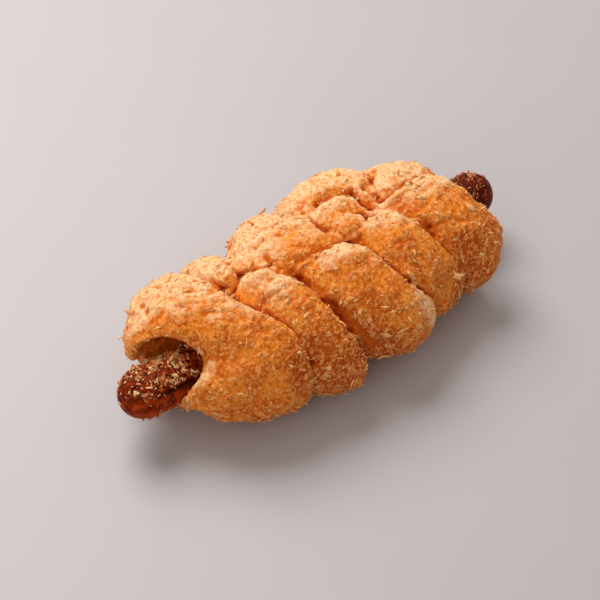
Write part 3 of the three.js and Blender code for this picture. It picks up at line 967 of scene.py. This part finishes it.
def sausage_shape(x, angle):
    """Scale of the sausage's radius: wrinkles round it and along it, and the wandering score."""
    wrinkle = RING_WRINKLES * np.sin(x * 0.9 + 2 * np.sin(angle))
    wrinkle = wrinkle + LONG_WRINKLES * np.sin(3 * angle + x * 0.05)
    wander = 2.5 * np.sin(x * 0.21) + 1.5 * np.sin(x * 0.47 + 1)
    away = (np.degrees(angle) - SCORE_ANGLE - wander) / SCORE_WIDTH
    lip = SCORE_LIP * np.exp(-(away + SCORE_LIP_PLACE) ** 2 / 2)
    return 1 + wrinkle + (lip - SCORE_DEPTH * np.exp(-away ** 2)) * score_depth(x)


def add_sausage():
    mesh = build_mesh("sausage_skin", *sausage_mesh(SAUSAGE_STEPS, 0, sausage_shape))
    points, normals = mesh_points(mesh), mesh_points(mesh, "normal")
    x = points[:, 0]
    lean = points - sausage_axis(x)
    angle = np.degrees(np.arctan2(lean[:, 1], -lean[:, 2])) % 360
    crumbed = ramp(angle, *CRUMBED_START) * (1 - ramp(angle, *CRUMBED_END))
    score = np.exp(-((angle - SCORE_ANGLE) / SCORE_WIDTH) ** 2) * score_depth(x)
    # Painted shade on the underside, and darker towards the right end
    under = ramp(-normals[:, 2], *SAUSAGE_SHADED_UNDER)
    dark = np.maximum(under, SAUSAGE_DARK_END * ramp(x, *SAUSAGE_DARK_FROM))
    set_attributes(mesh, crumbed=crumbed, score=score, dark=dark)
    finish_piece("sausage_skin", mesh, sausage_material(), "sausage")
    clumps = ramp(layered_noise(points, SAUSAGE_CLUMP_SIZE, SEED + 50, 2), *SAUSAGE_CLUMP_RANGE)
    in_mouth = ramp(x, *IN_MOUTH) * (x < 0)
    at_tip = ramp(np.abs(x), *AT_TIP)
    density = crumbed * (BETWEEN_CLUMPS + clumps) + ALL_ROUND + UNDERNEATH * under * clumps
    density *= (1 - IN_MOUTH_LOSS * in_mouth) * (1 - AT_TIP_LOSS * at_tip)
    for name, side, kind in (("left", -1, SAUSAGE_CRUMBS), ("right", 1, FAR_SAUSAGE_CRUMBS)):
        shown = density * (side * x > SAUSAGE_SHOWN_FROM)
        name = "sausage_crumbs_" + name
        add_crumbs(name, mesh, normals, shown, kind, SAUSAGE_CRUMB_COLOURS, smooth=False)


# ---- Materials ----

class Nodes:
    """Short calls for a material's nodes."""

    def __init__(self, name):
        self.material = bpy.data.materials.new(name)
        self.material.use_nodes = True
        self.tree = self.material.node_tree
        self.shader = self.tree.nodes["Principled BSDF"]
        scaled = self.add("VectorMath", operation="SCALE")
        self.feed(scaled.inputs[0], self.add("TexCoord").outputs["Object"])
        scaled.inputs["Scale"].default_value = 1 / MM
        self.place = scaled.outputs[0]

    def add(self, kind, **settings):
        node = self.tree.nodes.new("ShaderNode" + kind)
        for key, value in settings.items():
            setattr(node, key, value)
        return node

    def feed(self, socket, value):
        if isinstance(value, bpy.types.NodeSocket):
            self.tree.links.new(value, socket)
        else:
            socket.default_value = value

    def math(self, operation, *values):
        node = self.add("Math", operation=operation)
        for socket, value in zip(node.inputs, values):
            self.feed(socket, value)
        return node.outputs[0]

    def noise(self, size, detail=2.0, roughness=0.5):
        """Noise from 0 to 1, mostly 0.3 to 0.7, with bumps of this size in mm."""
        node = self.add("TexNoise")
        inputs = {"Vector": self.place, "Scale": 1 / size, "Detail": detail, "Roughness": roughness}
        for key, value in inputs.items():
            self.feed(node.inputs[key], value)
        return node.outputs["Fac"]

    def attribute(self, name):
        return self.add("Attribute", attribute_name=name).outputs["Fac"]

    def spread(self, value, low, high, to_low=0.0, to_high=1.0):
        node = self.add("MapRange")
        for socket, item in zip(node.inputs, (value, low, high, to_low, to_high)):
            self.feed(socket, item)
        return node.outputs["Result"]

    def mix(self, share, a, b):
        node = self.add("Mix", data_type="RGBA")
        colours = [socket for socket in node.inputs if socket.type == "RGBA"]
        self.feed(node.inputs["Factor"], share)
        for socket, colour in zip(colours, (a, b)):
            self.feed(socket, colour)
        return next(socket for socket in node.outputs if socket.type == "RGBA")

    def uneven(self, name, amount, size, detail):
        """The attribute, made uneven by noise of up to this amount either way."""
        noise = self.spread(self.noise(size, detail), 0.3, 0.7, -amount, amount)
        return self.math("ADD", self.attribute(name), noise)

    def marbled(self, size, detail, a, b):
        """The two colours in soft patches."""
        return self.mix(self.spread(self.noise(size, detail), 0.35, 0.65), a, b)

    def bump(self, height, depth):
        node = self.add("Bump")
        node.inputs["Distance"].default_value = depth * MM
        self.feed(node.inputs["Height"], height)
        return node.outputs["Normal"]

    def finish(self, **inputs):
        for name, value in inputs.items():
            words = name.replace("_", " ").title().replace("Ior", "IOR")
            self.feed(self.shader.inputs[words], value)
        return self.material


def rgb(red, green, blue):
    """A colour given as it shows on a screen, 0 to 255."""
    levels = np.array([red, green, blue]) / 255
    return (*np.where(levels < 0.04045, levels / 12.92, ((levels + 0.055) / 1.055) ** 2.4), 1.0)


GOLDEN = rgb(242, 138, 28)
GOLDEN_DARK = rgb(216, 98, 10)
GOLDEN_PALE = rgb(250, 172, 90)
ORANGE = rgb(236, 134, 48)
PEACH = rgb(253, 206, 154)
# Browned crust, and the colour of painted shade
BROWNED_AND_SHADED = rgb(178, 68, 4)
# Colours of the painted shade in creases: orange where shallow, brown where deep
CREASE_SHADE_ORANGE = rgb(218, 104, 12)
CREASE_SHADE_BROWN = rgb(158, 50, 0)
SAUSAGE_RED, SAUSAGE_RED_DARK = rgb(182, 64, 8), rgb(104, 24, 0)
SAUSAGE_TOP, SAUSAGE_TOP_DARK = rgb(158, 50, 8), rgb(58, 10, 0)
# Painted shade on the underside, also the darker right end
SAUSAGE_SHADE_AND_END = rgb(52, 10, 2)
# Painted shade in the score
SAUSAGE_SCORE_SHADE = rgb(44, 8, 2)
FLOOR_GREY, FLOOR_PALE = rgb(182, 176, 176), rgb(186, 180, 180)
FLOOR_PATCHES = 60


def dough_material():
    """Golden skin with browned patches, pale and darker flecks, and painted shade in spots, near the
    floor and in creases; orange and peach under the coat, with painted shade in its pits and painted
    light on its ridges.
    """
    m = Nodes("fried_dough")
    coat = m.uneven("coat", 0.25, 2.5, 3)
    crease = m.uneven("crease", 0.2, 5, 3)
    pit = m.uneven("pit", 0.8, 0.9, 3)
    golden = m.marbled(7, 3, GOLDEN, GOLDEN_DARK)
    # Browned patches, with painted shade in spots and near the floor
    golden = m.mix(m.attribute("brown"), golden, BROWNED_AND_SHADED)
    # Paler on ridges: painted light on the fine relief of the bare skin
    golden = m.mix(m.spread(pit, -1.1, 0.1, 0.75, 0), golden, GOLDEN_PALE)
    golden = m.mix(m.spread(m.noise(1.0, 2), 0.56, 0.64, 0, 0.6), golden, GOLDEN_PALE)
    golden = m.mix(m.spread(m.noise(1.6, 3), 0.46, 0.34, 0, 0.7), golden, BROWNED_AND_SHADED)
    # Orange in pits, peach on ridges: painted shade and light on the fine relief of the coat
    coat_pit_shaded = m.mix(m.spread(pit, -0.4, 1.0), PEACH, ORANGE)
    skin = m.mix(m.spread(coat, 0.15, 0.85), golden, coat_pit_shaded)
    # Painted shade in creases: orange, then brown where deepest
    skin = m.mix(m.spread(crease, 0.1, 0.7, 0, 0.85), skin, CREASE_SHADE_ORANGE)
    colour = m.mix(m.spread(crease, 0.7, 1.5), skin, CREASE_SHADE_BROWN)
    grain = m.math("MULTIPLY", m.noise(0.9, 4, 0.65), m.spread(coat, 0, 1, 0.35, 1.0))
    return m.finish(
        base_color=colour,
        roughness=m.spread(coat, 0, 1, 0.42, 0.6),
        specular_ior_level=0.08,
        subsurface_weight=0.2,
        subsurface_radius=(1.0, 0.45, 0.12),
        subsurface_scale=1.5 * MM,
        normal=m.bump(grain, 0.45),
    )


def crumb_material(name, colours):
    m = Nodes(name)
    tone = m.uneven("tone", 0.15, 0.8, 2)
    return m.finish(
        base_color=m.mix(m.spread(tone, 0, 1), *(rgb(*colour) for colour in colours)),
        roughness=0.5,
        specular_ior_level=0.15,
        subsurface_weight=0.5,
        subsurface_radius=(1.0, 0.5, 0.2),
        subsurface_scale=0.8 * MM,
        normal=m.bump(m.noise(0.35, 2), 0.05),
    )


def sausage_material():
    m = Nodes("sausage_skin")
    lower = m.marbled(3, 4, SAUSAGE_RED, SAUSAGE_RED_DARK)
    upper = m.marbled(1.6, 4, SAUSAGE_TOP, SAUSAGE_TOP_DARK)
    skin = m.mix(m.attribute("crumbed"), lower, upper)
    # Painted shade on the underside, and darker towards the right end
    skin = m.mix(m.math("MULTIPLY", m.attribute("dark"), 0.85), skin, SAUSAGE_SHADE_AND_END)
    # Painted shade in the score
    colour = m.mix(m.attribute("score"), skin, SAUSAGE_SCORE_SHADE)
    return m.finish(
        base_color=colour,
        roughness=m.spread(m.noise(2, 3), 0.3, 0.7, 0.35, 0.55),
        specular_ior_level=0.05,
        subsurface_weight=0.1,
        subsurface_radius=(1.0, 0.3, 0.1),
        subsurface_scale=1.5 * MM,
        normal=m.bump(m.noise(1.2, 4, 0.6), 0.35),
    )


def floor_material():
    m = Nodes("plain_floor")
    colour = m.mix(m.noise(FLOOR_PATCHES), FLOOR_GREY, FLOOR_PALE)
    return m.finish(base_color=colour, roughness=0.5)


# ---- Stage ----

# The camera at the photograph's angle: its place, its directions and its lens in mm
CAMERA_PLACE = (-266.1, -365.5, 509.1)
CAMERA_RIGHT = (0.8099, -0.5865, -0.0075)
CAMERA_UP = (0.4377, 0.5958, 0.6734)
CAMERA_BACK = (-0.3905, -0.5487, 0.7393)
CAMERA_LENS = 112.47
CLIP_START = 0.01
FLOOR_SIZE = 2400
# Round lights that aim at the part: place, width and watts
LIGHT_AIM = (0, 0, 10)
LIGHTS = {"key": ((64, 728, 872), 800, 11.6), "fill": ((-500, -300, 420), 500, 0.7)}
WORLD_COLOUR = (1, 0.95, 0.9, 1)
WORLD_STRENGTH = 0.46


def to_metres(point):
    return Vector((np.array(point, float) + SHIFT) * MM)


def add_camera():
    data = bpy.data.cameras.new("camera")
    data.lens = CAMERA_LENS
    data.clip_start = CLIP_START
    camera = link("camera", data)
    turn = Matrix([CAMERA_RIGHT, CAMERA_UP, CAMERA_BACK]).transposed()
    camera.matrix_world = Matrix.Translation(to_metres(CAMERA_PLACE)) @ turn.to_4x4()
    bpy.context.scene.camera = camera


def add_light(name, place, size, watts):
    data = bpy.data.lights.new(name, "AREA")
    data.shape = "DISK"
    data.size = size * MM
    data.energy = watts
    light = link(name, data)
    light.location = to_metres(place)
    ahead = to_metres(LIGHT_AIM) - light.location
    light.rotation_euler = ahead.to_track_quat("-Z", "Y").to_euler()


def add_stage():
    half = FLOOR_SIZE / 2
    corners = np.array([[-half, -half, 0], [half, -half, 0], [half, half, 0], [-half, half, 0]])
    floor = link("floor", build_mesh("floor", corners, [[0, 1, 2, 3]]))
    floor.data.materials.append(floor_material())
    for name, settings in LIGHTS.items():
        add_light(name, *settings)
    world = bpy.data.worlds.new("studio")
    bpy.context.scene.world = world
    world.use_nodes = True
    background = world.node_tree.nodes["Background"]
    background.inputs["Color"].default_value = WORLD_COLOUR
    background.inputs["Strength"].default_value = WORLD_STRENGTH
    bpy.context.scene.view_settings.view_transform = "Standard"


add_camera()
add_stage()
add_dough()
add_sausage()
